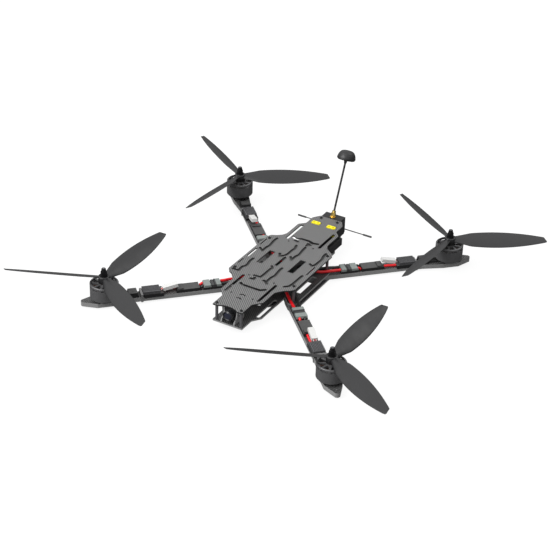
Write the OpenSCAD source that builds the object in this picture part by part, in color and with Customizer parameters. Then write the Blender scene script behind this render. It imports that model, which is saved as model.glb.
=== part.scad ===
// Long-range quadcopter: a carbon plate frame with four diagonal arms, one motor and
// three-bladed propeller per arm, a tilting nose camera and antennas at the tail.
// +X points to the nose, +Y to the left side, +Z up. The origin is the centre of the
// bottom plate's underside, which is the face that the aircraft rests on.

/* [Frame] */
// Distance between diagonally opposite motor axes
wheelbase = 600; // [560:5:660]
// Thickness of the bottom plate
bottom_t = 3; // [2.5:0.5:4]
// Thickness of each arm
arm_t = 8; // [6:0.5:10]
// Width of each arm along its straight part
arm_w = 20; // [18:1:22]
// Thickness of the middle plate
mid_t = 3; // [2.5:0.5:4]
// Thickness of the top plate
top_t = 2.5; // [2:0.5:4]
// Length of the standoffs between the middle and top plates
standoff_h = 27; // [26:1:30]

/* [Motors] */
// Diameter of the rotating bell
bell_d = 47.7; // [46:0.1:50]
// Height of the rotating bell
bell_h = 27.5; // [26:0.5:30]
// Diameter of the motor shaft
shaft_d = 5; // [4:0.5:6]

/* [Propellers] */
// Diameter of the circle that the blade tips sweep
prop_d = 330; // [300:5:356]
// Widest chord of a blade
chord_max = 32; // [28:0.5:36]
// Angle of the blades to the plane that they sweep, near the hub
blade_twist = 27; // [20:1:28]
// Upward slope of the blades from hub to tip
blade_rise = 2.5; // [0:0.5:4]
// Turn of the front pair of propellers about their shafts
prop_turn_front = 57.6; // [0:0.1:120]
// Turn of the rear pair of propellers about their shafts
prop_turn_rear = 117.6; // [0:0.1:120]

/* [Camera and antenna] */
// Width and height of the square camera body
camera_size = 21; // [18:0.5:21]
// Backward lean of the tall antenna
antenna_lean = 22; // [0:1:30]
// Length of the tall antenna from its socket to the top of its cap
antenna_len = 121; // [90:1:140]

/* [Hidden] */

$fn = 48;

// Heights of the stack, from the belly up
z_arm = bottom_t;
z_mid = z_arm + arm_t;
z_deck = z_mid + mid_t;
z_top = z_deck + standoff_h;
z_roof = z_top + top_t;

// Radial places along an arm, from the middle of the frame
r_motor = wheelbase / 2;
r_root = 26;
r_connector = 104;
r_controller = 140;
r_sink = 208;
r_strap = 237.5;
r_gland = 244;
r_saddle = 203;
r_plug = 190.5;
pad_h = 4;
saddle_h = 4.4;
lead_r = 2.5;
r_inner_bolt = 44;
r_outer_bolt = 80.5;

// Directions of the arms
a_fl = 45;
a_fr = -45;
a_rl = 135;
a_rr = -135;
arm_angles = [a_fl, a_fr, a_rl, a_rr];

// Motor stack
base_h = 3;
z_bell = z_mid + base_h + 0.5;
z_rim = z_bell + bell_h;
z_hub = z_rim + 0.4;
hub_h = 12.5;
z_washer = z_hub + hub_h;
washer_h = 1.5;
nut_h = 14.5;
bell_r = bell_d / 2;
can_r = 21.1;
shaft_r = shaft_d / 2;
run_gap = 0.05;
bearing_r = 5.5;
bearing_h = 4;
tube_r = 7;
stator_r = 19.6;
stator_h = 16;
z_stator = z_bell + 4;
z_tube = z_stator + stator_h + 1.2;
teeth = 12;
red_side = -1;
vents = 9;

// Plate outlines, one side only, from nose to tail
deck_half = 63.5;
neck_half = 40;
nose_half = 27.5;
nose_x = 172;
tail_x = -174;
waist_half = 38;

// Holes and screws
m3_r = 1.5;
m3_hole = 1.55;
m4_r = 2;
m4_hole = 2.05;
post_r = 2.5;
nose_post = [166.5, 23];
tail_post = [-167, 16];
arm_post = r_outer_bolt / sqrt(2);
post_places = [[nose_post[0], nose_post[1]], [nose_post[0], -nose_post[1]],
    [tail_post[0], tail_post[1]], [tail_post[0], -tail_post[1]],
    [arm_post, arm_post], [arm_post, -arm_post], [-arm_post, arm_post],
    [-arm_post, -arm_post]];
deck_hole_x = 66;
deck_hole_y = 24;
nose_hole = [127, 20];
pocket_w = 5;
pocket_depth = 1.7;
strap_slot = [45, 10.6];
strap_slot_y = 30;
stack_pitch = 30.5;

// Camera
cam_x = 156;
cam_z = z_deck + standoff_h / 2;
bracket_t = 2;
bracket_gap = camera_size + 1;

// Tail
mount_x0 = -192;
mount_x1 = -160;
socket_y = 15;
socket_x = -147;
ant_x = -180;
ant_z = z_roof + 0.5;
cap_r = 16.4;
cap_h = 17;

carbon = [0.30, 0.30, 0.31];
black = [0.07, 0.07, 0.075];
dark = [0.16, 0.16, 0.17];
steel = [0.72, 0.72, 0.74];

// ---------- helpers ----------

module at_arm(angle, r) {
    rotate([0, 0, angle]) translate([r, 0, 0]) children();
}

module at_motor(angle) {
    translate([r_motor * cos(angle), r_motor * sin(angle), 0]) children();
}

module both_sides() {
    children();
    mirror([0, 1, 0]) children();
}

module four_ways() {
    both_sides() {
        children();
        mirror([1, 0, 0]) children();
    }
}

// A flat slot that follows a line of points, with round ends and corners
module groove(points, width) {
    for (i = [0 : len(points) - 2]) {
        step = points[i + 1] - points[i];
        translate(points[i])
            rotate(atan2(step[1], step[0]))
            translate([0, -width / 2])
            square([norm(step), width]);
    }
    for (p = points) translate(p) circle(d = width + 0.1, $fn = 24);
}

module ring(r_out, r_in, h) {
    difference() {
        cylinder(r = r_out, h = h);
        translate([0, 0, -1]) cylinder(r = r_in, h = h + 2);
    }
}

// One ring of a swept tube, square to the direction of travel
function sweep_ring(p, dir, r, sides) =
    let (side = cross(dir, [0, 0, 1]),
         u = norm(side) < 0.01 ? [1, 0, 0] : side / norm(side),
         v = cross(u, dir))
    [for (k = [0 : sides - 1])
        p + r * (cos(360 * k / sides) * u + sin(360 * k / sides) * v)];

function unit(v) = v / norm(v);

function travel(path, i) =
    unit(path[min(i + 1, len(path) - 1)] - path[max(i - 1, 0)]);

// A cord: one closed tube along a list of points
module cord(path, r, sides = 8) {
    n = len(path);
    points = [for (i = [0 : n - 1]) each sweep_ring(path[i], travel(path, i), r, sides)];
    walls = [for (i = [0 : n - 2], k = [0 : sides - 1])
        let (a = i * sides + k,
             b = i * sides + (k + 1) % sides)
        each [[a, b, b + sides], [a, b + sides, a + sides]]];
    start_cap = [for (k = [1 : sides - 2]) [0, k + 1, k]];
    last = (n - 1) * sides;
    end_cap = [for (k = [1 : sides - 2]) [last, last + k, last + k + 1]];
    polyhedron(points, concat(walls, start_cap, end_cap), convexity = 6);
}

// A point of a smooth curve through four neighbours
function blend4(a, b, c, d, t) =
    0.5 * (2 * b + (c - a) * t + (2 * a - 5 * b + 4 * c - d) * t * t
        + (3 * b - a - 3 * c + d) * t * t * t);

function smooth(path, cuts) =
    let (n = len(path))
    [for (i = [0 : n - 2], j = [0 : cuts - 1])
        blend4(path[max(i - 1, 0)], path[i], path[i + 1], path[min(i + 2, n - 1)],
            j / cuts),
     path[n - 1]];

// A route given as [distance along the arm, offset to its left, height]
function along_arm(angle, route) =
    [for (p = route)
        [p[0] * cos(angle) - p[1] * sin(angle), p[0] * sin(angle) + p[1] * cos(angle),
            p[2]]];

// ---------- frame plates ----------

module side_outline(half_points) {
    polygon(concat(half_points,
        [for (i = [len(half_points) - 1 : -1 : 0]) [half_points[i][0], -half_points[i][1]]]));
}

module top_outline() {
    difference() {
        side_outline([[nose_x, nose_half], [142, nose_half], [127, neck_half],
            [92, neck_half], [84, 45], [76, 51.5], [72.5, 58], [65, deck_half],
            [-61, deck_half], [-68, 60], [-72.5, 52], [-79, 44], [-88, neck_half],
            [-127, neck_half], [-138, 30], [-161, 30], [tail_x, 21]]);
        translate([nose_x + 26, 0]) circle(r = 32, $fn = 96);
    }
}

// Slots that pass right through the top plate
module top_slots() {
    both_sides() {
        groove([[127, 31], [72, 31]], 5.2);
        groove([[-75, 31.5], [-125, 31.5]], 5.6);
        translate([-strap_slot[0] / 2 + 0.5, strap_slot_y - strap_slot[1] / 2])
            square(strap_slot);
    }
    groove([[13.5, -57.5], [-13.5, -57.5]], 4);
    groove([[13.5, 56.5], [-13.5, 56.5]], 2.4);
    groove([[91.5, 22.5], [97.5, 16], [97.5, -18], [94.5, -22]], 5.6);
    groove([[-83.5, 23], [-81, 14], [-84.5, 7], [-84.5, -9], [-80.5, -14], [-80.5, -20],
        [-84, -25]], 5.8);
    groove([[14, -1.5], [-14, -1.5]], 5.5);
    for (x = [136, 124])
        groove([[x + 1, 4], [x - 1, 0], [x + 1, -4]], 2.4);
    for (s = [-1, 1])
        translate([socket_x, s * socket_y])
            square([10.4, 17.2], center = true);
}

// Wandering grooves that are milled into the upper face
module top_pockets() {
    groove([[74, 15], [70.5, 11], [68, 6]], pocket_w);
    groove([[70.5, 11.5], [53, 11.5], [45.5, 14], [30, 12], [18.5, 11.5]], pocket_w);
    groove([[-21.5, 5.5], [-13.5, 11.5], [-28.5, 11.5], [-34.5, 14], [-50, 12],
        [-62, 11]], pocket_w);
    groove([[-68.5, 9.5], [-73, 11]], pocket_w);
    groove([[-73, 14.5], [-75.5, 8.5]], pocket_w);
    groove([[73.5, -16], [73.5, -10], [68.5, -11.5]], pocket_w);
    groove([[62, -15.5], [61.5, -4.5], [53, -3.5], [30, -3.5], [26, -2], [21.5, -6]], pocket_w);
    groove([[-21.5, -15.5], [-13.5, -11.5], [-21.5, -5], [-28.5, -3.5], [-43, -3.5],
        [-50, -2], [-59.5, -5.5]], pocket_w);
    groove([[-72, -10], [-74, -16]], pocket_w);
    groove([[62.5, -57], [63, -46], [48.5, -47], [44.5, -43.5], [37, -43.5], [28.5, -45.5],
        [17, -45.5]], pocket_w);
    groove([[-20, -54], [-13.5, -45.5], [-28.5, -45.5], [-34.5, -43.5], [-54, -46],
        [-63, -45.5]], pocket_w);
    groove([[66, 44.5], [61.5, 49.5], [52, 51.5], [22, 52]], pocket_w);
    groove([[-18.5, 44.5], [-15.5, 50], [-21.5, 53.5], [-45, 54], [-52, 51.5],
        [-62, 51]], pocket_w);
    groove([[41, -59.5], [26, -59.5]], 2.2);
    groove([[-31, -59.5], [-51, -59.5]], 2.2);
}

module top_plate() {
    color(carbon) translate([0, 0, z_top])
    difference() {
        linear_extrude(top_t) difference() {
            top_outline();
            top_slots();
        }
        translate([0, 0, top_t - pocket_depth]) linear_extrude(top_t) top_pockets();
        for (p = post_places) translate([p[0], p[1], -1]) cylinder(r = m3_hole, h = 9);
        four_ways() translate([deck_hole_x, deck_hole_y, -1]) cylinder(r = 1.6, h = 9);
        both_sides() translate([nose_hole[0], nose_hole[1], -1])
            cylinder(r = 1.6, h = 9);
    }
}

// Outline of the lower plates over the arm roots
module deck_lobes() {
    both_sides() polygon([[-26, 19], [26, 19], [52, 38], [66, 52], [66, 58],
        [61, deck_half], [-61, deck_half], [-66, 58], [-66, 52], [-52, 38]]);
}

module rail_windows(x_len, y_in, y_out) {
    both_sides() translate([-x_len / 2, y_in]) square([x_len, y_out - y_in]);
}

module mid_outline() {
    difference() {
        union() {
            deck_lobes();
            side_outline([[nose_x, nose_half], [142, nose_half], [127, waist_half],
                [-121, waist_half], [-137, 28], [-161, 28], [tail_x, 21]]);
        }
        rail_windows(58, 44, 54);
        both_sides() {
            groove([[126, 31], [72, 31]], 7);
            groove([[-118, 29], [-76, 29]], 8);
        }
        groove([[92, 12], [92, -12]], 12);
        groove([[-92, 10], [-92, -10]], 10);
    }
}

module mid_plate() {
    color(carbon) translate([0, 0, z_mid])
    difference() {
        linear_extrude(mid_t) mid_outline();
        for (p = post_places) translate([p[0], p[1], -1]) cylinder(r = m3_hole, h = 9);
        for (i = [0 : 3]) translate([post_places[i][0], post_places[i][1], -1])
            cylinder(r = 3, h = 2.8);
        for (a = arm_angles) at_arm(a, r_inner_bolt) translate([0, 0, -1])
            cylinder(r = m4_hole, h = 9);
        four_ways() translate([stack_pitch / 2, stack_pitch / 2, -1])
            cylinder(r = m3_hole, h = 9);
        four_ways() translate([stack_pitch / 2, stack_pitch / 2, -1])
            cylinder(r = 3, h = 2.8);
    }
}

module bottom_plate() {
    color(carbon)
    difference() {
        linear_extrude(bottom_t) difference() {
            union() {
                deck_lobes();
                side_outline([[76, 20], [66, 30], [-66, 30], [-76, 20]]);
            }
            rail_windows(58, 36, 52);
        }
        for (a = arm_angles, r = [r_inner_bolt, r_outer_bolt])
            at_arm(a, r) translate([0, 0, -1]) {
                cylinder(r = r == r_inner_bolt ? m4_hole : m3_hole, h = 9);
                cylinder(r = r == r_inner_bolt ? 4.1 : 3, h = 3.2);
            }
        both_sides() translate([60, 20, -1]) cylinder(r = 1.6, h = 9);
        both_sides() translate([-60, 20, -1]) cylinder(r = 1.6, h = 9);
    }
}

// ---------- arms ----------

module arm_outline() {
    half = arm_w / 2;
    side_outline([[r_root, 2], [r_root + 8, half], [r_motor - 50, half],
        [r_motor - 14, 15], [r_motor + 14, 15], [r_motor + 38, 4], [r_motor + 39.5, 1]]);
}

module arm(angle) {
    color(carbon) rotate([0, 0, angle]) translate([0, 0, z_arm])
    difference() {
        linear_extrude(arm_t) arm_outline();
        translate([r_inner_bolt, 0, -1]) cylinder(r = m4_hole, h = arm_t + 2);
        translate([r_outer_bolt, 0, -1]) cylinder(r = m3_hole, h = arm_t + 2);
        translate([r_motor, 0, -1]) cylinder(r = 4.5, h = arm_t + 2);
        translate([r_motor + 29, 0, -1]) cylinder(r = 1.6, h = arm_t + 2);
        for (k = [45 : 90 : 315])
            translate([r_motor + 12.5 * cos(k), 12.5 * sin(k), -1]) {
                cylinder(r = m3_hole, h = arm_t + 2);
                cylinder(r = 2.9, h = 3.2);
            }
    }
}

module arm_front_left() { arm(a_fl); }
module arm_front_right() { arm(a_fr); }
module arm_rear_left() { arm(a_rl); }
module arm_rear_right() { arm(a_rr); }

// ---------- fasteners ----------

module standoffs() {
    color(dark)
    for (p = post_places) translate([p[0], p[1], z_deck])
        ring(post_r, m3_r, standoff_h);
}

module button_head(r, h) {
    difference() {
        union() {
            cylinder(r = r, h = h * 0.5);
            translate([0, 0, h * 0.5]) cylinder(r1 = r, r2 = r * 0.72, h = h * 0.5);
        }
        translate([0, 0, h * 0.35]) cylinder(r = r * 0.4, h = h, $fn = 6);
    }
}

module plate_screws() {
    color(black) {
        for (p = post_places) translate([p[0], p[1], z_roof]) {
            button_head(2.8, 1.7);
            translate([0, 0, -top_t - 6]) cylinder(r = m3_r, h = top_t + 6);
        }
        for (i = [0 : 3]) translate([post_places[i][0], post_places[i][1], z_mid]) {
            translate([0, 0, 0.1]) cylinder(r = 2.8, h = 1.6);
            translate([0, 0, 1.7]) cylinder(r = m3_r, h = 7);
        }
        for (a = arm_angles) at_arm(a, r_outer_bolt) {
            translate([0, 0, 0.2]) cylinder(r = 2.8, h = 1.9);
            translate([0, 0, 2.1]) cylinder(r = m3_r, h = z_deck + 4);
        }
        for (a = arm_angles) at_motor(a) rotate([0, 0, a])
            for (k = [45 : 90 : 315])
                translate([12.5 * cos(k), 12.5 * sin(k), z_arm]) {
                    translate([0, 0, 0.2]) cylinder(r = 2.75, h = 1.9);
                    translate([0, 0, 2.1]) cylinder(r = m3_r, h = arm_t);
                }
    }
}

module arm_bolts() {
    color(black)
    for (a = arm_angles) at_arm(a, r_inner_bolt) {
        translate([0, 0, 0.2]) cylinder(r = 3.9, h = 1.9);
        translate([0, 0, 2.1]) cylinder(r = m4_r, h = z_deck + 2.6);
        translate([0, 0, z_deck]) ring_nut();
    }
}

module ring_nut() {
    difference() {
        cylinder(r = 4.04, h = 3.2, $fn = 6);
        translate([0, 0, -1]) cylinder(r = m4_r, h = 6);
    }
}

// ---------- camera ----------

module camera_brackets() {
    color(carbon)
    both_sides()
    difference() {
        translate([cam_x, bracket_gap / 2 + bracket_t, 0]) rotate([90, 0, 0])
            linear_extrude(bracket_t)
            polygon([[-15, z_deck], [15, z_deck], [14, z_deck + 5], [9, cam_z - 5],
                [6, cam_z + 2], [5, z_top - 4], [5, z_top], [-15, z_top]]);
        translate([cam_x, bracket_gap / 2 - 1, cam_z]) rotate([-90, 0, 0])
            cylinder(r = m3_hole, h = 9);
    }
}

module camera_body() {
    half = camera_size / 2;
    back_half = half - 4.5;
    color(black) {
        difference() {
            translate([cam_x - 7, -half, cam_z - half])
                cube([14, camera_size, camera_size]);
            translate([cam_x + 4, 0, cam_z]) rotate([0, 90, 0])
                cylinder(r = 8, h = 9);
            for (s = [-1, 1], t = [-1, 1])
                translate([cam_x + 6, s * (half - 2.2), cam_z + t * (half - 2.2)])
                    rotate([0, 90, 0]) cylinder(r = 1.1, h = 3);
        }
        translate([cam_x - 10.5, -back_half, cam_z - back_half])
            cube([3.5, 2 * back_half, 2 * back_half]);
    }
}

module camera_lens() {
    color([0.03, 0.03, 0.04])
    translate([cam_x + 4, 0, cam_z]) rotate([0, 90, 0])
    rotate_extrude($fn = 64)
        polygon([[0, 0], [7.9, 0], [7.9, 3.1], [9, 3.1], [9, 11.4], [8.4, 12], [7.4, 12],
            [7.2, 10.8], [4, 11.5], [0, 11.8]]);
}

module camera_screws() {
    half = camera_size / 2;
    color(steel)
    both_sides()
    translate([cam_x, half, cam_z]) rotate([-90, 0, 0]) {
        cylinder(r = m3_r, h = bracket_t + 0.9);
        translate([0, 0, bracket_t + 0.9]) button_head(2.8, 1.7);
    }
}

// ---------- electronics inside the body ----------

module board(z, x_len, y_len, thick) {
    translate([-x_len / 2, -y_len / 2, z]) cube([x_len, y_len, thick]);
}

module stack_holes() {
    four_ways() translate([stack_pitch / 2, stack_pitch / 2, 0])
        cylinder(r = m3_hole, h = 60);
}

module power_board() {
    color([0.08, 0.10, 0.09])
    difference() {
        union() {
            board(z_deck + 5, 40, 42, 1.6);
            for (x = [-12 : 8 : 12]) translate([x - 2.5, -12, z_deck + 6.6])
                cube([5, 24, 1.4]);
        }
        stack_holes();
    }
}

module flight_controller() {
    color([0.07, 0.09, 0.12])
    difference() {
        union() {
            board(z_deck + 14, 37, 37, 1.6);
            translate([-5, -5, z_deck + 15.6]) cube([10, 10, 1.2]);
            translate([-16, -4, z_deck + 15.6]) cube([7, 8, 3]);
            translate([9, -9, z_deck + 15.6]) cube([5, 6, 2]);
        }
        stack_holes();
    }
}

module stack_posts() {
    color(steel)
    four_ways() translate([stack_pitch / 2, stack_pitch / 2, 0]) {
        translate([0, 0, z_mid + 0.1]) cylinder(r = 2.8, h = 1.6);
        translate([0, 0, z_mid + 1.7]) cylinder(r = m3_r, h = 20.5);
        translate([0, 0, z_deck]) ring(3, m3_r, 5);
        translate([0, 0, z_deck + 6.6]) ring(3, m3_r, 7.4);
        translate([0, 0, z_deck + 15.6]) ring(2.75, m3_r, 2.4);
    }
}

module video_transmitter() {
    color(black) {
        difference() {
            translate([-150, -24, z_deck]) cube([46, 60, 13]);
            for (y = [-18 : 6 : 30])
                translate([-146, y, z_deck + 11]) cube([38, 2.5, 5]);
        }
    }
}

module radio_receiver() {
    color([0.12, 0.12, 0.13]) {
        translate([60, -11, z_deck]) cube([22, 22, 6]);
        translate([64, -8, z_deck + 6]) cube([14, 16, 1.5]);
    }
}

module socket_shell(y) {
    translate([socket_x, y, z_top - 14])
    difference() {
        linear_extrude(top_t + 15)
            polygon([[-4, -8], [4, -8], [4, 5.6], [2.2, 8], [-2.2, 8], [-4, 5.6]]);
        for (s = [-1, 1]) translate([0, s * 3.8, -1]) cylinder(r = 2.4, h = 40);
    }
}

module battery_sockets() {
    color([0.95, 0.88, 0.12])
    for (s = [-1, 1]) socket_shell(s * socket_y);
}

module socket_contacts() {
    color([0.83, 0.66, 0.28])
    for (s = [-1, 1], t = [-1, 1])
        translate([socket_x, s * socket_y + t * 3.8, z_top - 14])
            ring(2.4, 1.75, 15);
}

// ---------- tail ----------

module antenna_mount() {
    color(black)
    difference() {
        union() {
            translate([mount_x0 + 6, -21, z_deck + 0.3])
                cube([mount_x1 - mount_x0 - 6, 42, standoff_h - 0.6]);
            translate([mount_x0, -19, z_deck + 0.3]) cube([17.4, 38, standoff_h + 2.6]);
        }
        for (s = [-1, 1]) translate([tail_post[0], s * tail_post[1], 0])
            cylinder(r = post_r + 0.05, h = 80);
        translate([mount_x1 - 20, -10, z_deck - 1]) cube([30, 20, standoff_h + 2]);
        translate([mount_x0 + 4, 0, 22.5]) rotate([90, 0, 0])
            cylinder(r = 1.3, h = 60, center = true);
        translate([ant_x, 0, z_deck + 6]) cylinder(r = 3.25, h = 40);
    }
}

module lean() {
    translate([ant_x, 0, ant_z]) rotate([0, -antenna_lean, 0]) children();
}

module antenna_connector() {
    color([0.86, 0.70, 0.34])
    difference() {
        union() {
            translate([ant_x, 0, z_deck + 10]) cylinder(r = 3.2, h = ant_z - z_deck - 10);
            translate([ant_x, 0, z_roof + 0.45]) cylinder(r = 5.4, h = 1.6, $fn = 6);
            translate([ant_x, 0, z_roof + 1]) cylinder(r = 3.2, h = 3.4);
            lean() {
                translate([0, 0, 3]) cylinder(r = 4.2, h = 5.5, $fn = 6);
                translate([0, 0, 2]) cylinder(r = 3.4, h = 10);
            }
        }
        lean() translate([0, 0, 9]) cylinder(r = 1.85, h = 10);
    }
}

module antenna_stem() {
    color(black)
    lean() {
        translate([0, 0, 9]) cylinder(r = 1.8, h = antenna_len - cap_h - 9);
        translate([0, 0, antenna_len - cap_h - 6])
            cylinder(r1 = 2.3, r2 = 3.4, h = 6, $fn = 48);
    }
}

module antenna_cap() {
    color(dark)
    lean() translate([0, 0, antenna_len - cap_h])
    rotate_extrude($fn = 72)
        polygon([[0, 0], [cap_r - 2, 0], [cap_r, 2], [cap_r, 4.5], [cap_r - 1, 8.5],
            [cap_r - 2.6, 12], [cap_r - 4.8, 14.8], [cap_r - 7.6, 16.4],
            [cap_r - 10.5, cap_h], [0, cap_h]]);
}

module receiver_antenna() {
    tip = 74;
    color(black)
    translate([mount_x0 + 4, 0, 22.5]) rotate([90, 0, 0]) {
        cylinder(r = 0.9, h = 2 * tip - 10, center = true);
        for (s = [-1, 1]) translate([0, 0, s * (tip - 8)])
            cylinder(r = 1.6, h = 16, center = true);
    }
}

// ---------- what rides on each arm ----------

// A block whose ends slope, like a moulded plug or a shrunk sleeve
module slant_block(x0, x1, width, h, slope) {
    translate([0, width / 2, 0]) rotate([90, 0, 0]) linear_extrude(width)
        polygon([[x0, 0], [x1, 0], [x1 - slope, h], [x0 + slope, h]]);
}

module arm_connectors() {
    color([0.36, 0.38, 0.37])
    for (a = arm_angles) rotate([0, 0, a]) translate([0, 0, z_mid + pad_h]) {
        slant_block(r_connector, r_connector + 12.5, 19, 4, 1.2);
        translate([r_connector + 12.5, -9, 0]) cube([5, 18, 3.4]);
        slant_block(r_connector + 17.5, r_connector + 30.5, 19, 4, 1.2);
    }
}

// The sleeved speed controller, its end block that saddles the arm, and the pad
// under the power connector
module speed_controllers() {
    color(dark)
    for (a = arm_angles) rotate([0, 0, a]) translate([0, 0, z_mid]) {
        slant_block(r_controller, r_controller + 41, 19.4, 5.6, 1.6);
        translate([r_controller + 29, -8, 5.6]) cube([9, 16, 1.4]);
        translate([r_connector, -9.7, 0]) cube([30.5, 19.4, pad_h]);
        translate([r_saddle, -9.8, 0]) cube([37, 19.6, saddle_h]);
        for (s = [-1, 1]) translate([r_saddle, s * 10.55 - 0.5, -2])
            cube([33, 1, saddle_h + 2]);
        for (s = [-1, 1]) translate([r_saddle, s * 9.9 - 0.2, 0.3])
            cube([33, 0.4, saddle_h - 0.3]);
    }
}

// The plug stands up at a slant, with its end towards the middle of the frame raised
module signal_plugs() {
    color([0.93, 0.93, 0.91])
    for (a = arm_angles) rotate([0, 0, a])
        translate([r_plug, -1.5 * red_side, z_mid + 10.5])
        rotate([0, 12, 0])
        cube([25, 10, 6], center = true);
}

module signal_wires() {
    end_face = r_plug + 12.5;
    color([0.80, 0.72, 0.70])
    for (a = arm_angles, k = [-1, 0, 1])
        let (y = 2.4 * k - 1.5 * red_side)
        cord(smooth(along_arm(a, [[end_face - 0.1, y, z_mid + 7.8], [end_face + 1.4, y, z_mid + 7.9],
            [end_face + 2.7, y, z_mid + 6.6], [end_face + 2.5, y, z_mid + saddle_h + 0.05]]), 2), 0.6);
}

module heat_sinks() {
    color([0.45, 0.45, 0.47])
    for (a = arm_angles) rotate([0, 0, a]) translate([r_sink, -9.8, z_mid + saddle_h])
    difference() {
        cube([29, 19.6, 4.6]);
        for (y = [1.8 : 2.4 : 17]) translate([-1, y, 3.4]) cube([31, 1, 3]);
    }
}

module arm_straps() {
    color([0.45, 0.45, 0.46])
    for (a = arm_angles) rotate([0, 0, a]) translate([r_strap, 0, z_mid])
    difference() {
        translate([0, -arm_w / 2 - 1, -arm_t - 1]) cube([3.5, arm_w + 2, arm_t + saddle_h + 2]);
        translate([-1, -arm_w / 2 - 0.02, -arm_t - 0.02])
            cube([8, arm_w + 0.04, arm_t + saddle_h + 0.04]);
    }
}

module wire_glands() {
    color(black)
    for (a = arm_angles) rotate([0, 0, a]) translate([r_gland, 0, z_mid])
    difference() {
        slant_block(0, 19, 17, 8.4, 2.4);
        for (y = [-5, 0, 5]) translate([-1, y, 3]) rotate([0, 90, 0])
            cylinder(r = 1.7, h = 30);
    }
}

module power_lead(a, side) {
    cord(smooth(along_arm(a, [[30, side * 8, z_deck + 10.4], [44, side * 8, z_deck + 10.6],
        [58, side * 6.8, z_deck + 7], [70, side * 5.8, z_deck + 3.6],
        [88, side * 5.6, z_deck + 3], [96, side * 4.9, z_mid + 5.7],
        [r_connector - 3, side * 4.8, z_mid + 5.6],
        [r_connector - 0.2, side * 4.8, z_mid + 5.6]]), 3), lead_r);
    cord(smooth(along_arm(a, [[r_connector + 30.7, side * 4.4, z_mid + 5],
        [r_connector + 32, side * 4.4, z_mid + 5], [r_controller - 1.5, side * 4.4, z_mid + 3.2],
        [r_controller - 0.1, side * 4.4, z_mid + 3.2]]), 2), 2.2);
}

module power_leads_red() {
    color([0.75, 0.05, 0.08])
    for (a = arm_angles) {
        power_lead(a, red_side);
        cord(smooth(along_arm(a, [[r_controller + 41.1, 4 * red_side, z_mid + 3],
            [r_controller + 42.5, 4 * red_side, z_mid + 3], [r_controller + 48, 4.4 * red_side, z_mid + 3.4],
            [r_controller + 55, 4.2 * red_side, z_mid + 2.8],
            [r_saddle - 1.5, 4 * red_side, z_mid + 2.4],
            [r_saddle - 0.1, 4 * red_side, z_mid + 2.4]]), 2), 2.2);
    }
}

module power_leads_black() {
    color([0.05, 0.05, 0.05])
    for (a = arm_angles) power_lead(a, -red_side);
}

module motor_leads() {
    color([0.09, 0.09, 0.09])
    for (a = arm_angles, k = [-1, 0, 1])
        cord(smooth(along_arm(a, [[r_gland + 10, 5 * k, z_mid + 3],
            [r_gland + 19, 5 * k, z_mid + 3], [r_gland + 25, 5 * k, z_mid + 2],
            [r_motor - 16.4, 5 * k, z_mid + 1.6]]), 2), 1.35);
}

// ---------- motors ----------

module motor_bases() {
    color(dark)
    for (a = arm_angles) at_motor(a) translate([0, 0, z_mid])
    difference() {
        union() {
            rotate([0, 0, a]) difference() {
                cylinder(r = 15.5, h = base_h);
                for (k = [45 : 90 : 315])
                    translate([12.5 * cos(k), 12.5 * sin(k), -1])
                        cylinder(r = m3_hole, h = 6);
            }
            cylinder(r = tube_r, h = z_tube - z_mid);
            translate([0, 0, base_h - 1])
                cylinder(r1 = 10.6, r2 = 9, h = z_stator - z_mid - base_h + 1);
        }
        translate([0, 0, -1]) cylinder(r = bearing_r, h = 60);
    }
}

module stator_cores() {
    tooth_w = 3.2;
    color([0.42, 0.40, 0.38])
    for (a = arm_angles) at_motor(a) translate([0, 0, z_stator])
    difference() {
        union() {
            cylinder(r = 10, h = stator_h);
            for (k = [0 : teeth - 1]) rotate([0, 0, 360 * k / teeth])
                translate([8, -tooth_w / 2, 0]) cube([stator_r - 9.4, tooth_w, stator_h]);
            difference() {
                cylinder(r = stator_r, h = stator_h);
                translate([0, 0, -1]) cylinder(r = stator_r - 1.8, h = stator_h + 2);
                for (k = [0 : teeth - 1]) rotate([0, 0, 360 * (k + 0.5) / teeth])
                    translate([10, -0.9, -1]) cube([20, 1.8, stator_h + 2]);
            }
        }
        translate([0, 0, -1]) cylinder(r = tube_r, h = stator_h + 2);
    }
}

module stator_windings() {
    color([0.72, 0.38, 0.16])
    for (a = arm_angles) at_motor(a) translate([0, 0, z_stator])
    for (k = [0 : teeth - 1]) rotate([0, 0, 360 * k / teeth])
    difference() {
        translate([11, -2.4, -1.2]) cube([6.4, 4.8, stator_h + 2.4]);
        translate([9, -1.65, 0]) cube([11, 3.3, stator_h]);
    }
}

module motor_bearings() {
    color(steel)
    for (a = arm_angles) at_motor(a)
    for (z = [z_mid + 1, z_tube - bearing_h])
        translate([0, 0, z]) ring(bearing_r, shaft_r + run_gap, bearing_h);
}

module bell(a) {
    vent_z = bell_h - 6;
    vent_w = 12.8;
    vent_h = 2.6;
    color([0.33, 0.33, 0.34]) at_motor(a) translate([0, 0, z_bell])
    difference() {
        union() {
            rotate_extrude($fn = 96) polygon([[can_r, 0], [bell_r - 2.2, 0],
                [bell_r, 2.6], [bell_r, bell_h - 0.6], [bell_r - 0.6, bell_h],
                [can_r, bell_h]]);
            rotate_extrude($fn = 64) polygon([[shaft_r, bell_h - 5.6], [9, bell_h - 5.6],
                [9.4, bell_h - 5], [9.4, bell_h + 0.4], [shaft_r, bell_h + 0.4]]);
            for (k = [0 : vents - 1]) rotate([0, 0, 360 * (k + 0.5) / vents])
                translate([8.2, -1.7, bell_h - 4.6]) cube([13.8, 3.4, 3]);
        }
        for (k = [0 : vents - 1]) rotate([0, 0, 360 * k / vents])
            translate([20, -vent_w / 2, vent_z]) cube([6, vent_w, vent_h]);
    }
}

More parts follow.
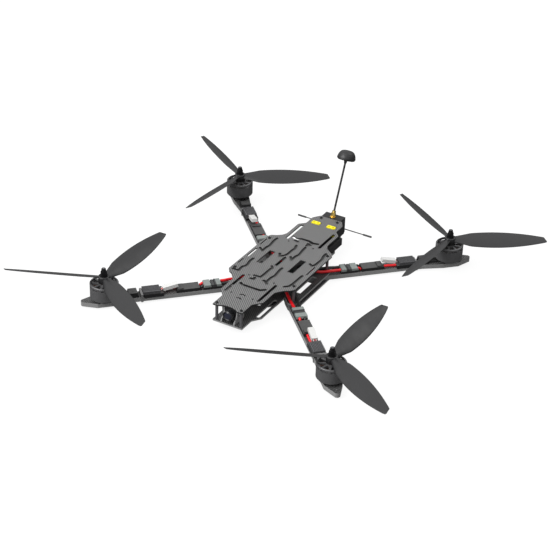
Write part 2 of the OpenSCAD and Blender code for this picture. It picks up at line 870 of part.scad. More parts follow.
// A ring of flat magnets, alternating poles, held by the wall of the bell
module magnet_ring(a) {
    poles = 14;
    color([0.55, 0.55, 0.57]) at_motor(a) translate([0, 0, z_bell + 3])
    difference() {
        ring(can_r, stator_r + 0.5, stator_h + 2);
        for (k = [0 : poles - 1]) rotate([0, 0, 360 * (k + 0.5) / poles])
            translate([10, -0.4, -1]) cube([20, 0.8, stator_h + 5]);
    }
}

module shaft(a) {
    color(steel) at_motor(a) {
        translate([0, 0, z_mid + 0.6])
            cylinder(r = shaft_r, h = z_washer + washer_h + nut_h - 2 - z_mid - 0.6);
    }
}

blade_cuts = 16;
blade_root = 7.5;
spar = 0.46;

// Thin cambered section: upper side from the leading edge back, then the lower side
section = [for (k = [0 : 5]) let (t = k / 5) [t, 1],
    for (k = [4 : -1 : 1]) let (t = k / 5) [t, -1]];

function foil(t, side) =
    side > 0 ? 0.15 + 3.0 * t * (1 - t) : -0.15 + 0.55 * t * (1 - t);

// The chord is widest near mid-span and draws in towards the hub
function chord_at(f) =
    chord_max * (1 - 2.3 * pow(f - 0.46, 2)) * min(1, 0.55 + 2.1 * f);

// The leading edge turns in at the very tip and leaves a corner on the trailing edge
function tip_cut(f) = max(0, (f - 0.973) / 0.027);

// The cuts crowd towards the tip
function cut_place(i) =
    let (tip = prop_d / 2)
    (blade_root + (tip - blade_root) * (1 - pow(1 - i / blade_cuts, 1.35))) / tip;

function blade_ring(f) =
    let (r = f * prop_d / 2,
         c = chord_at(f),
         lead = spar * c * (1 - 1.5 * tip_cut(f)),
         trail = (1 - spar) * c * (1 - 0.1 * tip_cut(f)),
         w = lead + trail,
         thick = 3.6 - 2.6 * f,
         rise = r * tan(blade_rise),
         beta = blade_twist - 5 * pow(f, 3))
    [for (s = section)
        let (x = lead - s[0] * w,
             z = foil(s[0], s[1]) * thick)
        [r, x * cos(beta) - z * sin(beta), rise + x * sin(beta) + z * cos(beta)]];

module blade() {
    n = len(section);
    rings = [for (i = [0 : blade_cuts]) blade_ring(cut_place(i))];
    points = [for (ring_i = rings) each ring_i];
    walls = [for (i = [0 : blade_cuts - 1], k = [0 : n - 1])
        let (a = i * n + k,
             b = i * n + (k + 1) % n)
        each [[a, b + n, b], [a, a + n, b + n]]];
    root_cap = [for (k = [1 : n - 2]) [0, k, k + 1]];
    last = blade_cuts * n;
    tip_cap = [for (k = [1 : n - 2]) [last, last + k + 1, last + k]];
    polyhedron(points, concat(walls, root_cap, tip_cap), convexity = 4);
}

module propeller(a, turn) {
    color(dark) at_motor(a) translate([0, 0, z_hub])
    difference() {
        union() {
            cylinder(r = 9.4, h = hub_h);
            for (k = [0 : 2]) rotate([0, 0, turn + 120 * k])
                translate([0, 0, hub_h * 0.5 + 2]) blade();
        }
        translate([0, 0, -5]) cylinder(r = shaft_r + run_gap, h = hub_h + 10);
    }
}

module prop_nut(a) {
    color(black) at_motor(a) translate([0, 0, z_washer])
    difference() {
        union() {
            cylinder(r = 6, h = washer_h);
            translate([0, 0, washer_h]) cylinder(r = 5.8, h = 1.4);
            translate([0, 0, washer_h + 1.4]) cylinder(r = 5.4, h = 5.2, $fn = 6);
            translate([0, 0, washer_h + 6.6]) cylinder(r1 = 4.6, r2 = 3.4, h = 5.6);
        }
        translate([0, 0, -1]) cylinder(r = shaft_r + run_gap, h = 40);
    }
}

module bell_front_left() { bell(a_fl); }
module bell_front_right() { bell(a_fr); }
module bell_rear_left() { bell(a_rl); }
module bell_rear_right() { bell(a_rr); }
module magnets_front_left() { magnet_ring(a_fl); }
module shaft_front_left() { shaft(a_fl); }
module magnets_front_right() { magnet_ring(a_fr); }
module shaft_front_right() { shaft(a_fr); }
module magnets_rear_left() { magnet_ring(a_rl); }
module shaft_rear_left() { shaft(a_rl); }
module magnets_rear_right() { magnet_ring(a_rr); }
module shaft_rear_right() { shaft(a_rr); }
module propeller_front_left() { propeller(a_fl, prop_turn_front); }
module propeller_front_right() { propeller(a_fr, prop_turn_front); }
module propeller_rear_left() { propeller(a_rl, prop_turn_rear); }
module propeller_rear_right() { propeller(a_rr, prop_turn_rear); }
module nut_front_left() { prop_nut(a_fl); }
module nut_front_right() { prop_nut(a_fr); }
module nut_rear_left() { prop_nut(a_rl); }
module nut_rear_right() { prop_nut(a_rr); }

bottom_plate();
mid_plate();
top_plate();
arm_front_left();
arm_front_right();
arm_rear_left();
arm_rear_right();
standoffs();
plate_screws();
arm_bolts();
camera_brackets();
camera_body();
camera_lens();
camera_screws();
flight_controller();
power_board();
stack_posts();
video_transmitter();
radio_receiver();
battery_sockets();
socket_contacts();
antenna_mount();
antenna_connector();
antenna_stem();
antenna_cap();
receiver_antenna();
arm_connectors();
speed_controllers();
signal_plugs();
heat_sinks();
arm_straps();
wire_glands();
signal_wires();
power_leads_red();
power_leads_black();
motor_leads();
motor_bases();
stator_cores();
stator_windings();
motor_bearings();
bell_front_left();
magnets_front_left();
shaft_front_left();
propeller_front_left();
nut_front_left();
bell_front_right();
magnets_front_right();
shaft_front_right();
propeller_front_right();
nut_front_right();
bell_rear_left();
magnets_rear_left();
shaft_rear_left();
propeller_rear_left();
nut_rear_left();
bell_rear_right();
magnets_rear_right();
shaft_rear_right();
propeller_rear_right();
nut_rear_right();
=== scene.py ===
"""Looks for a long-range quadcopter: woven carbon plates, turned motors, moulded blades."""

import math
import random

import bpy
from mathutils import Matrix, Vector


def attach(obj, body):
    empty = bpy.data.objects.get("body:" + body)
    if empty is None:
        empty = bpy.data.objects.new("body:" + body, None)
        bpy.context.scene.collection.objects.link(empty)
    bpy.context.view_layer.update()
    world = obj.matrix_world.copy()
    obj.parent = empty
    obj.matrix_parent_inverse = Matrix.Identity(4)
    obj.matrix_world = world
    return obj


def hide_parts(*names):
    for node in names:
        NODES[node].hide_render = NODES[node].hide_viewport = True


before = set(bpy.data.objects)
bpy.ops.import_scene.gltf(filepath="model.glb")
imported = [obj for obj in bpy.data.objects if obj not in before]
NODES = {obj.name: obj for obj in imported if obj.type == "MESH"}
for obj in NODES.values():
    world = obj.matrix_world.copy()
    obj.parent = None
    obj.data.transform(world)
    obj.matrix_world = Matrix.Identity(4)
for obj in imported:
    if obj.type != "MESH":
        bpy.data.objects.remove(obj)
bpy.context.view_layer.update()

MM = 0.001
# The angle of each arm from the nose, in degrees
ARMS = {"front_left": 45, "front_right": -45, "rear_left": 135, "rear_right": -135}
# The distance from the middle of the craft to each motor shaft, in millimetres
R_MOTOR = 300.0
# The top plate gets painted shade below this height: on the floors of its grooves and on its underside.
GROOVE_TOP = (43.5 - 0.6) * MM


# ---------- material graphs ----------


COAT_ROUGHNESS = 0.12


class Graph:
    """A short way to write a node tree."""

    def __init__(self, name):
        self.mat = bpy.data.materials.new(name)
        self.mat.use_nodes = True
        self.nt = self.mat.node_tree
        self.nt.nodes.clear()
        self.out = self.nt.nodes.new("ShaderNodeOutputMaterial")
        self.bsdf = self.nt.nodes.new("ShaderNodeBsdfPrincipled")
        self.nt.links.new(self.bsdf.outputs[0], self.out.inputs[0])
        coord = self.nt.nodes.new("ShaderNodeTexCoord")
        self.place = coord.outputs["Object"]
        self.normal = coord.outputs["Normal"]

    def put(self, socket, value):
        if isinstance(value, bpy.types.NodeSocket):
            self.nt.links.new(value, socket)
        else:
            socket.default_value = value

    def math(self, op, a, b=0.0):
        n = self.nt.nodes.new("ShaderNodeMath")
        n.operation = op
        self.put(n.inputs[0], a)
        self.put(n.inputs[1], b)
        return n.outputs[0]

    def axes(self, vector):
        n = self.nt.nodes.new("ShaderNodeSeparateXYZ")
        self.put(n.inputs[0], vector)
        return n.outputs[0], n.outputs[1], n.outputs[2]

    def turned(self, vector, degrees):
        n = self.nt.nodes.new("ShaderNodeVectorRotate")
        n.rotation_type = "Z_AXIS"
        self.put(n.inputs["Vector"], vector)
        n.inputs["Angle"].default_value = math.radians(degrees)
        return n.outputs[0]

    def noise(self, scale, detail=3.0, vector=None, stretch=None):
        n = self.nt.nodes.new("ShaderNodeTexNoise")
        n.inputs["Scale"].default_value = scale
        n.inputs["Detail"].default_value = detail
        source = vector if vector is not None else self.place
        if stretch:
            m = self.nt.nodes.new("ShaderNodeVectorMath")
            m.operation = "MULTIPLY"
            self.put(m.inputs[0], source)
            m.inputs[1].default_value = stretch
            source = m.outputs[0]
        self.put(n.inputs["Vector"], source)
        return n.outputs[0]

    def span(self, value, lo, hi, to_lo, to_hi):
        n = self.nt.nodes.new("ShaderNodeMapRange")
        self.put(n.inputs[0], value)
        for i, v in enumerate((lo, hi, to_lo, to_hi)):
            n.inputs[i + 1].default_value = v
        return n.outputs[0]

    def blend(self, factor, a, b):
        n = self.nt.nodes.new("ShaderNodeMix")
        n.data_type = "RGBA"
        self.put(n.inputs["Factor"], factor)
        for key, v in (("A", a), ("B", b)):
            socket = [i for i in n.inputs if i.name == key and i.type == "RGBA"][0]
            self.put(socket, v if isinstance(v, bpy.types.NodeSocket) else rgba(v))
        return [o for o in n.outputs if o.type == "RGBA"][0]

    def bump(self, height, distance, strength=1.0):
        n = self.nt.nodes.new("ShaderNodeBump")
        n.inputs["Distance"].default_value = distance
        n.inputs["Strength"].default_value = strength
        self.put(n.inputs["Height"], height)
        return n.outputs[0]

    def finish(self, color, rough, normal=None, metallic=0.0, specular=0.5, coat=0.0):
        self.put(self.bsdf.inputs["Base Color"], color)
        self.put(self.bsdf.inputs["Roughness"], rough)
        self.bsdf.inputs["Metallic"].default_value = metallic
        self.bsdf.inputs["Specular IOR Level"].default_value = specular
        self.bsdf.inputs["Coat Weight"].default_value = coat
        self.bsdf.inputs["Coat Roughness"].default_value = COAT_ROUGHNESS
        if normal is not None:
            self.put(self.bsdf.inputs["Normal"], normal)
        return self.mat


def rgba(c):
    if isinstance(c, (int, float)):
        return (c, c, c, 1.0)
    return (c[0], c[1], c[2], 1.0)


def scaled(c, k):
    c = (c, c, c) if isinstance(c, (int, float)) else c
    return tuple(min(1.0, x * k) for x in c)


TOW_WIDTH = 1.15 * MM
TOWS_IN_REPEAT = 4.0
PLY_THICKNESS = 0.5 * MM
# How much each part of the weave adds to its brightness. The twill layout is the real weave, but its bright
# over tows and tow crowns are painted sheen for how the tows catch the light. The strands are the fibres'
# own grain.
OVER_SHEEN, CROWN_SHEEN, STRAND_SHADE = 0.8, 0.10, 0.12


def carbon(name, face, edge, angle=0.0, painted_shade_height=None):
    """Twill laminate: tows pass over two and under two, and the cut edge shows its layers.

    Below the given height the colour is darkened: painted shade on the floors of milled grooves and under
    the plate."""
    g = Graph(name)
    laid = g.turned(g.place, angle)
    x, y, z = g.axes(laid)
    u = g.math("DIVIDE", x, TOW_WIDTH)
    v = g.math("DIVIDE", y, TOW_WIDTH)
    step = g.math("SUBTRACT", g.math("FLOOR", u), g.math("FLOOR", v))
    step = g.math("MODULO", step, TOWS_IN_REPEAT)
    step = g.math("MODULO", g.math("ADD", step, TOWS_IN_REPEAT), TOWS_IN_REPEAT)
    over = g.math("LESS_THAN", step, 1.5)
    across_u = g.math("ABSOLUTE", g.math("SUBTRACT", g.math("FRACT", u), 0.5))
    across_v = g.math("ABSOLUTE", g.math("SUBTRACT", g.math("FRACT", v), 0.5))
    across = g.math("ADD", g.math("MULTIPLY", over, across_u),
                    g.math("MULTIPLY", g.math("SUBTRACT", 1.0, over), across_v))
    crown = g.math("SUBTRACT", 1.0, g.math("MULTIPLY", g.math("MULTIPLY", across, across), 4.0))
    strands = g.noise(900.0, 2.0, laid, (1.0, 1.0, 0.2))
    # Painted sheen on the crown of each tow, with the fibres' own grain.
    sheen_and_grain = g.math("ADD", g.math("MULTIPLY", crown, CROWN_SHEEN), g.math("MULTIPLY", strands, STRAND_SHADE))
    # Painted sheen: tows that pass over are brighter, standing in for how they reflect light.
    shade = g.math("ADD", g.math("MULTIPLY", over, OVER_SHEEN), sheen_and_grain)
    weave = g.blend(g.math("MINIMUM", shade, 1.0), scaled(face, 0.12), scaled(face, 2.0))
    facing = g.axes(g.normal)[2]
    flat = g.span(g.math("ABSOLUTE", facing), 0.6, 0.9, 0.0, 1.0)
    ply = g.math("FRACT", g.math("DIVIDE", z, PLY_THICKNESS))
    layered = g.math("MULTIPLY", g.math("ADD", g.math("LESS_THAN", ply, 0.5), g.noise(700.0, 3.0)), 0.5)
    sides = g.blend(layered, scaled(edge, 0.8), scaled(edge, 1.25))
    color = g.blend(flat, sides, weave)
    # Painted shade: what lies below the given height is darkened, for the shade in the grooves and under the
    # plate.
    if painted_shade_height is not None:
        in_painted_shade = g.math("LESS_THAN", z, painted_shade_height)
        color = g.blend(in_painted_shade, color, scaled(face, 0.10))
    rough = g.span(g.noise(90.0, 2.0), 0.3, 0.7, 0.33, 0.47)
    rough = g.math("ADD", rough, g.math("MULTIPLY", g.math("SUBTRACT", 1.0, flat), 0.25))
    height = g.math("MULTIPLY", g.math("ADD", crown, g.math("MULTIPLY", strands, 0.3)), flat)
    normal = g.bump(height, 0.05 * MM, 0.5)
    return g.finish(color, rough, normal)


def surface(name, color, rough, metallic=0.0, spread=0.12, grain=600.0, depth=0.02 * MM,
            lines=None, patch=60.0, specular=0.5, coat=0.0):
    """A finish with fine grain, uneven gloss, and if asked printed layers or turned lines."""
    g = Graph(name)
    fine = g.noise(grain, 3.0)
    wide = g.noise(patch, 3.0)
    tone = g.math("ADD", g.math("MULTIPLY", fine, 0.5), g.math("MULTIPLY", wide, 0.5))
    dim, bright = scaled(color, 1 - spread), scaled(color, 1 + spread)
    shade = g.blend(g.span(tone, 0.3, 0.7, 0.0, 1.0), dim, bright)
    r = g.span(wide, 0.3, 0.7, max(0.02, rough - 0.06), min(1.0, rough + 0.08))
    height = fine
    if lines:
        z = g.axes(g.place)[2]
        wave = g.math("SINE", g.math("MULTIPLY", z, 2 * math.pi / lines))
        height = g.math("ADD", g.math("MULTIPLY", wave, 0.6), g.math("MULTIPLY", fine, 0.4))
    normal = g.bump(height, depth, 0.6)
    return g.finish(shade, r, normal, metallic, specular, coat)


def grained(g, fine, dim, bright):
    """A colour that goes from dim to bright with a fine grain."""
    return g.blend(g.span(fine, 0.3, 0.7, 0.0, 1.0), dim, bright)


def banded(name, color, band, rough, inner, outer):
    """Nylon whose stretch between two distances along the arms is darker."""
    g = Graph(name)
    x, y = g.axes(g.place)[:2]
    reach = g.math("ADD", g.math("ABSOLUTE", x), g.math("ABSOLUTE", y))
    reach = g.math("MULTIPLY", reach, math.sqrt(0.5))
    middle = g.math("MULTIPLY", g.math("GREATER_THAN", reach, inner), g.math("LESS_THAN", reach, outer))
    fine = g.noise(500.0, 3.0)
    shade = g.blend(middle, grained(g, fine, scaled(color, 0.88), scaled(color, 1.12)), band)
    gloss = g.span(fine, 0.3, 0.7, rough - 0.05, rough + 0.08)
    return g.finish(shade, gloss, g.bump(fine, 0.02 * MM, 0.6))


def lit_from_above(name, side, top, rough, grain, depth):
    """A sleeve whose upward faces are painted paler than its sides: a painted highlight from the light
    above.
    """
    g = Graph(name)
    facing = g.axes(g.normal)[2]
    fine = g.noise(grain, 3.0)
    painted_top_light = grained(g, fine, scaled(top, 0.8), scaled(top, 1.25))
    # Painted highlight: faces that point up get the paler colour.
    shade = g.blend(g.span(facing, 0.75, 0.92, 0.0, 1.0), side, painted_top_light)
    gloss = g.span(fine, 0.3, 0.7, rough - 0.06, rough + 0.08)
    return g.finish(shade, gloss, g.bump(fine, depth, 0.6))


M = {
    # The top plate's near-black cut edge is painted shade on its edges and the walls of its grooves. Its
    # groove floors and underside get painted shade too.
    "carbon_top": carbon("woven carbon of the top plate", face=0.100, edge=0.018, painted_shade_height=GROOVE_TOP),
    # The lower plates' carbon face is darker than the top plate's: painted shade, as they lie under it.
    "carbon_low": carbon("woven carbon of the lower plates", face=0.045, edge=0.27),
    "carbon_bracket": carbon("woven carbon of the brackets", face=0.12, edge=0.30),
    "bell": surface("anodised motor bell", (0.115, 0.115, 0.118), rough=0.38, metallic=0.35,
                    lines=0.4 * MM, depth=0.01 * MM),
    "base": surface("anodised motor base", (0.035, 0.035, 0.037), rough=0.45, metallic=0.4),
    "magnet": surface("nickel plated magnets", (0.55, 0.55, 0.57), rough=0.3, metallic=0.9),
    "steel": surface("turned steel", (0.62, 0.62, 0.64), rough=0.28, metallic=1.0, lines=0.3 * MM,
                     depth=0.005 * MM),
    "shaft": surface("blued shaft steel", (0.16, 0.16, 0.17), rough=0.3, metallic=1.0, lines=0.3 * MM,
                     depth=0.005 * MM),
    "nylon": surface("glass filled nylon blades", (0.010, 0.010, 0.011), rough=0.40, grain=900.0,
                     spread=0.15, specular=0.55),
    "screw": surface("black oxide screws", (0.012, 0.012, 0.013), rough=0.38, metallic=0.6),
    "post": surface("anodised standoffs", (0.20, 0.20, 0.21), rough=0.4, metallic=0.7, lines=0.5 * MM,
                    depth=0.01 * MM),
    "camera": surface("camera shell", (0.012, 0.012, 0.013), rough=0.4),
    "lens": surface("camera lens barrel", (0.016, 0.016, 0.018), rough=0.25, coat=0.4),
    "board": surface("circuit board", (0.012, 0.030, 0.024), rough=0.3, grain=250.0, spread=0.5),
    "case": surface("black finned case", (0.012, 0.012, 0.013), rough=0.45),
    "yellow": surface("yellow nylon sockets", (0.90, 0.78, 0.01), rough=0.42, spread=0.05),
    "gold": surface("gold plating", (0.83, 0.60, 0.18), rough=0.25, metallic=1.0),
    "rubber": surface("printed flexible mount", (0.014, 0.014, 0.015), rough=0.6, lines=0.3 * MM,
                      depth=0.05 * MM),
    "antenna": surface("antenna plastic", (0.014, 0.014, 0.015), rough=0.42, grain=800.0),
    "plug": banded("grey nylon plugs", (0.20, 0.225, 0.215), band=(0.035, 0.036, 0.037), rough=0.5,
                   inner=113 * MM, outer=122 * MM),
    # The shrunk sleeve gets a painted highlight on its upward faces.
    "sleeve": lit_from_above("shrunk sleeve", side=(0.010, 0.010, 0.011), top=0.045, rough=0.38, grain=150.0,
                     depth=0.15 * MM),
    "white": surface("white nylon plug", (0.60, 0.60, 0.59), rough=0.45, spread=0.05),
    "sink": surface("grey ribbed heat sink", (0.10, 0.10, 0.105), rough=0.45, metallic=0.5),
    "strap": surface("grey band", (0.19, 0.19, 0.19), rough=0.5, lines=0.6 * MM),
    "wire_white": surface("white signal wire", (0.80, 0.80, 0.78), rough=0.45, spread=0.05),
    "wire_pink": surface("pink signal wire", (0.72, 0.42, 0.40), rough=0.45, spread=0.05),
    "glass": surface("coated front element", (0.010, 0.012, 0.028), rough=0.06, patch=200.0, coat=1.0,
                     depth=0.001 * MM),
    "chip": surface("chip packages", (0.014, 0.014, 0.015), rough=0.35, grain=900.0),
    "red": surface("red silicone leads", (0.72, 0.006, 0.012), rough=0.4, spread=0.08),
    "black": surface("black silicone leads", (0.010, 0.010, 0.010), rough=0.42),
    "iron": surface("stacked laminations", (0.28, 0.27, 0.26), rough=0.4, metallic=0.8, lines=0.35 * MM,
                    depth=0.06 * MM),
    "copper": surface("dark enamelled copper", (0.10, 0.045, 0.025), rough=0.35, metallic=0.8,
                      lines=0.8 * MM, depth=0.1 * MM),
}
# The arms' carbon faces are darker than the top plate's: painted shade, from the parts that sit on them.
for key, angle in ARMS.items():
    M["arm_" + key] = carbon("woven carbon of the %s arm" % key.replace("_", " "), face=0.055, edge=0.25,
                             angle=-angle)

LOOK = {
    "top_plate": "carbon_top", "mid_plate": "carbon_low", "bottom_plate": "carbon_low",
    "camera_brackets": "carbon_bracket", "motor_bases": "base", "motor_bearings": "steel",
    "camera_screws": "steel", "plate_screws": "screw", "arm_bolts": "screw", "standoffs": "post",
    "stack_posts": "post", "camera_body": "camera", "camera_lens": "lens",
    "flight_controller": "board", "power_board": "board", "radio_receiver": "case",
    "video_transmitter": "case", "battery_sockets": "yellow", "socket_contacts": "gold",
    "antenna_connector": "gold", "antenna_mount": "rubber", "antenna_stem": "antenna",
    "receiver_antenna": "antenna", "antenna_cap": "antenna", "arm_connectors": "plug",
    "speed_controllers": "sleeve", "wire_glands": "sleeve", "signal_plugs": "white",
    "heat_sinks": "sink", "arm_straps": "strap", "power_leads_red": "red",
    "power_leads_black": "black", "motor_leads": "black", "stator_cores": "iron",
    "stator_windings": "copper", "signal_wires": "wire_white",
}
for key in ARMS:
    LOOK["arm_" + key] = "arm_" + key
    LOOK["bell_" + key] = "bell"
    LOOK["magnets_" + key] = "magnet"
    LOOK["shaft_" + key] = "shaft"
    LOOK["propeller_" + key] = "nylon"
    LOOK["nut_" + key] = "screw"
for name, node in NODES.items():
    node.data.materials.clear()
    node.data.materials.append(M[LOOK[name]])


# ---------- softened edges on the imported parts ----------

BEVEL_FROM_ANGLE = 38
# The width of each softened edge, in millimetres
SOFTENED = {
    "top_plate": 0.2, "mid_plate": 0.25, "bottom_plate": 0.25, "camera_brackets": 0.2, "camera_body": 0.5,
    "speed_controllers": 0.7, "arm_connectors": 0.5, "signal_plugs": 0.6, "heat_sinks": 0.12,
    "wire_glands": 0.6, "antenna_mount": 0.8, "battery_sockets": 0.4, "motor_bases": 0.25,
    "stator_windings": 0.7, "video_transmitter": 0.4, "radio_receiver": 0.5, "arm_straps": 0.3,
    "flight_controller": 0.15, "power_board": 0.15, "stator_cores": 0.2,
}
for key in ARMS:
    SOFTENED["arm_" + key] = 0.35
    SOFTENED["bell_" + key] = 0.25
    SOFTENED["nut_" + key] = 0.25
for name, width in SOFTENED.items():
    bevel = NODES[name].modifiers.new("softened edges", "BEVEL")
    bevel.width = width * MM
    bevel.segments = 2
    bevel.limit_method = "ANGLE"
    bevel.angle_limit = math.radians(BEVEL_FROM_ANGLE)
    bevel.use_clamp_overlap = True


# ---------- mesh helpers ----------


def piece(name, points, faces, looks, body, crease=35.0, face_looks=None):
    """One mesh in the row frame that rides on a body, smooth except at sharp corners."""
    mesh = bpy.data.meshes.new(name)
    mesh.from_pydata([tuple(p) for p in points], [], faces)
    for look in looks:
        mesh.materials.append(M[look])
    if face_looks:
        mesh.polygons.foreach_set("material_index", face_looks)
    mesh.polygons.foreach_set("use_smooth", [True] * len(mesh.polygons))
    mesh.set_sharp_from_angle(angle=math.radians(crease))
    obj = bpy.data.objects.new(name, mesh)
    bpy.context.scene.collection.objects.link(obj)
    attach(obj, body)
    return obj


def skin(rings, first=0):
    """Faces of a closed skin over equal rings of points, with a cap at each end."""
    n = len(rings[0])
    faces = []
    for i in range(len(rings) - 1):
        for k in range(n):
            a, b = first + i * n + k, first + i * n + (k + 1) % n
            faces.append((a, b, b + n, a + n))
    last = first + (len(rings) - 1) * n
    faces.append(tuple(first + k for k in reversed(range(n))))
    faces.append(tuple(last + k for k in range(n)))
    return faces


def lathe(profile, sides):
    """Rings of a turned body from (radius, height) pairs, from its foot to its top."""
    return [[Vector((r * math.cos(math.tau * k / sides), r * math.sin(math.tau * k / sides), z))
             for k in range(sides)] for r, z in profile]


def gathered(parts):
    """Joins lists of rings into one list of points and faces."""
    points, faces = [], []
    for rings in parts:
        faces += skin(rings, len(points))
        points += [p for ring in rings for p in ring]
    return points, faces


def blend4(a, b, c, d, t):
    """A point between b and c on the smooth curve through four points."""
    square = (2 * a - 5 * b + 4 * c - d) * t * t
    cube = (3 * b - a - 3 * c + d) * t ** 3
    return 0.5 * (2 * b + (c - a) * t + square + cube)


def smooth(path, cuts):
    """A curve through the points of a route."""
    last = len(path) - 1
    out = []
    for i in range(last):
        a, b, c, d = path[max(i - 1, 0)], path[i], path[i + 1], path[min(i + 2, last)]
        out += [blend4(a, b, c, d, j / cuts) for j in range(cuts)]
    return out + [path[last]]


def tube(path, radius, sides=14):
    """Rings of a round tube along a path."""
    rings = []
    turn = [math.tau * k / sides for k in range(sides)]
    for i, p in enumerate(path):
        way = (path[min(i + 1, len(path) - 1)] - path[max(i - 1, 0)]).normalized()
        side = way.cross(Vector((0, 0, 1)))
        side = side.normalized() if side.length > 0.01 else Vector((1, 0, 0))
        up = side.cross(way)
        rings.append([p + radius * (math.cos(t) * side + math.sin(t) * up) for t in turn])
    return rings


def along_arm(angle, route):
    """A route given as distance along the arm, offset to its left and height, in millimetres."""
    c, s = math.cos(math.radians(angle)), math.sin(math.radians(angle))
    return [Vector((r * c - off * s, r * s + off * c, z)) * MM for r, off, z in route]


# ---------- propellers ----------

# Lengths are in millimetres and angles in degrees.
PROP_R = 165.0
CHORD = 32.0
# The fraction of the length where the blade is widest, and where its tip starts to narrow
WIDEST, TIP_START = 0.46, 0.973
BLADE_TWIST = 27.0
TIP_UNTWIST = 5
BLADE_RISE = 2.5
# The fraction of the chord that lies ahead of the blade's axis
SPAR = 0.46
ROOT_THICKNESS, TAPER = 3.6, 2.6
HUB_R, HUB_H, HUB_Z = 9.4, 12.5, 42.4
BORE_R = 2.6
# How far the blades' axis lies above the middle of the hub
BLADE_LIFT = 2
BLADE_ROOT = 6.0
BLADE_CUTS, FOIL_STOPS = 44, 11
# The angle of the first blade of each propeller
TURN = {"front_left": 57.6, "front_right": 57.6, "rear_left": 117.6, "rear_right": 117.6}


def foil(t, side):
    """Height of the section above its chord: a thin cambered wing with rounded edges."""
    edge = 0.15 * min(1.0, math.sqrt(min(t, 1 - t) / 0.02))
    return edge + 3.0 * t * (1 - t) if side > 0 else -edge + 0.55 * t * (1 - t)


def blade_ring(f):
    """One section of a blade at the fraction f of its length."""
    r = f * PROP_R
    chord = CHORD * (1 - 2.3 * (f - WIDEST) ** 2) * min(1.0, 0.55 + 2.1 * f)
    cut = max(0.0, (f - TIP_START) / (1 - TIP_START))
    lead = SPAR * chord * (1 - 1.5 * cut)
    trail = (1 - SPAR) * chord * (1 - 0.1 * cut)
    thick = ROOT_THICKNESS - TAPER * f
    rise = r * math.tan(math.radians(BLADE_RISE))
    beta = math.radians(BLADE_TWIST - TIP_UNTWIST * f ** 3)
    stops = [(1 - math.cos(math.pi * k / FOIL_STOPS)) / 2 for k in range(FOIL_STOPS + 1)]
    section = [(t, 1) for t in stops] + [(t, -1) for t in reversed(stops[1:-1])]
    ring = []
    for t, side in section:
        x, z = lead - t * (lead + trail), foil(t, side) * thick
        ring.append(Vector((r, x * math.cos(beta) - z * math.sin(beta),
                            rise + x * math.sin(beta) + z * math.cos(beta))))
    return ring


def propeller(key):
    """Three blades on a moulded hub with a raised collar, joined in one mesh."""
    angle = math.radians(ARMS[key])
    centre = Vector((R_MOTOR * math.cos(angle), R_MOTOR * math.sin(angle), HUB_Z))
    hub = lathe([(BORE_R, 0.0), (HUB_R - 0.5, 0.0), (HUB_R, 0.5), (HUB_R, HUB_H - 1.0),
                 (HUB_R - 0.4, HUB_H - 0.4), (HUB_R - 1.0, HUB_H - 0.05), (HUB_R - 1.6, HUB_H - 0.05),
                 (HUB_R - 1.8, HUB_H - 0.8), (HUB_R - 2.8, HUB_H - 0.8), (HUB_R - 3.1, HUB_H),
                 (BORE_R, HUB_H)], 64)
    parts = [[[(centre + p) * MM for p in ring] for ring in hub]]
    root = BLADE_ROOT / PROP_R
    for blade in range(3):
        spin = Matrix.Rotation(math.radians(TURN[key] + 120 * blade), 3, "Z")
        lift = centre + Vector((0, 0, HUB_H * 0.5 + BLADE_LIFT))
        places = [root + (1 - root) * (1 - (1 - i / BLADE_CUTS) ** 1.35) for i in range(BLADE_CUTS + 1)]
        parts.append([[(lift + spin @ p) * MM for p in blade_ring(f)] for f in places])
    points, faces = gathered(parts)
    obj = piece("moulded_propeller_" + key, points, faces, ["nylon"], "rotor_" + key,
                crease=50.0)
    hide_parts("propeller_" + key)


for key in ARMS:
    propeller(key)


# ---------- leads ----------

# The red lead lies on this side of its arm: 1 is the left one, seen from the middle.
RED_SIDE = -1
LEAD_R, LINK_R, PHASE_R, SIGNAL_R = 2.5, 2.2, 1.35, 0.6
LANES = (-1, 0, 1)
CURVE_CUTS = 6


def arm_run(side):
    """The run from the stack over the arm's root to its connector."""
    return [(30, side * 8, 24.4), (44, side * 8, 24.6), (58, side * 6.8, 21), (70, side * 5.8, 17.6),
            (88, side * 5.6, 17), (96, side * 4.9, 16.7), (101, side * 4.8, 16.6), (103.8, side * 4.8, 16.6)]


def link_run(side):
    """The short run between the connector and the speed controller."""
    return [(134.7, side * 4.4, 16), (136, side * 4.4, 16), (138.5, side * 4.4, 14.2),
            (139.9, side * 4.4, 14.2)]


def outer_red_run():
    """The red lead from the speed controller to the saddle beyond it."""
    return [(181.1, 4 * RED_SIDE, 14), (182.5, 4 * RED_SIDE, 14), (188, 4.4 * RED_SIDE, 14.4),
            (195, 4.2 * RED_SIDE, 13.8), (201.5, 4 * RED_SIDE, 13.4), (202.9, 4 * RED_SIDE, 13.4)]


def motor_run(lane):
    """One of three leads side by side, from the gland to the motor."""
    return [(254, 5 * lane, 14), (263, 5 * lane, 14), (269, 5 * lane, 13), (283.6, 5 * lane, 12.6)]


def signal_run(lane):
    """One of three thin wires, from the end of the white plug down to the saddle beyond it."""
    off = 2.4 * lane - 1.5 * RED_SIDE
    return [(202.9, off, 18.8), (204.4, off, 18.9), (205.7, off, 17.6), (205.5, off, 15.45)]


def leads(name, node, runs, looks):
    """All leads of one colour. Each run is (route, radius, index of its look)."""
    points, faces, tags = [], [], []
    for angle in ARMS.values():
        for route, radius, look in runs:
            rings = tube(smooth(along_arm(angle, route), CURVE_CUTS), radius * MM)
            found = skin(rings, len(points))
            faces += found
            tags += [look] * len(found)
            points += [p for ring in rings for p in ring]
    obj = piece(name, points, faces, looks, "frame", crease=50.0, face_looks=tags)
    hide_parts(node)


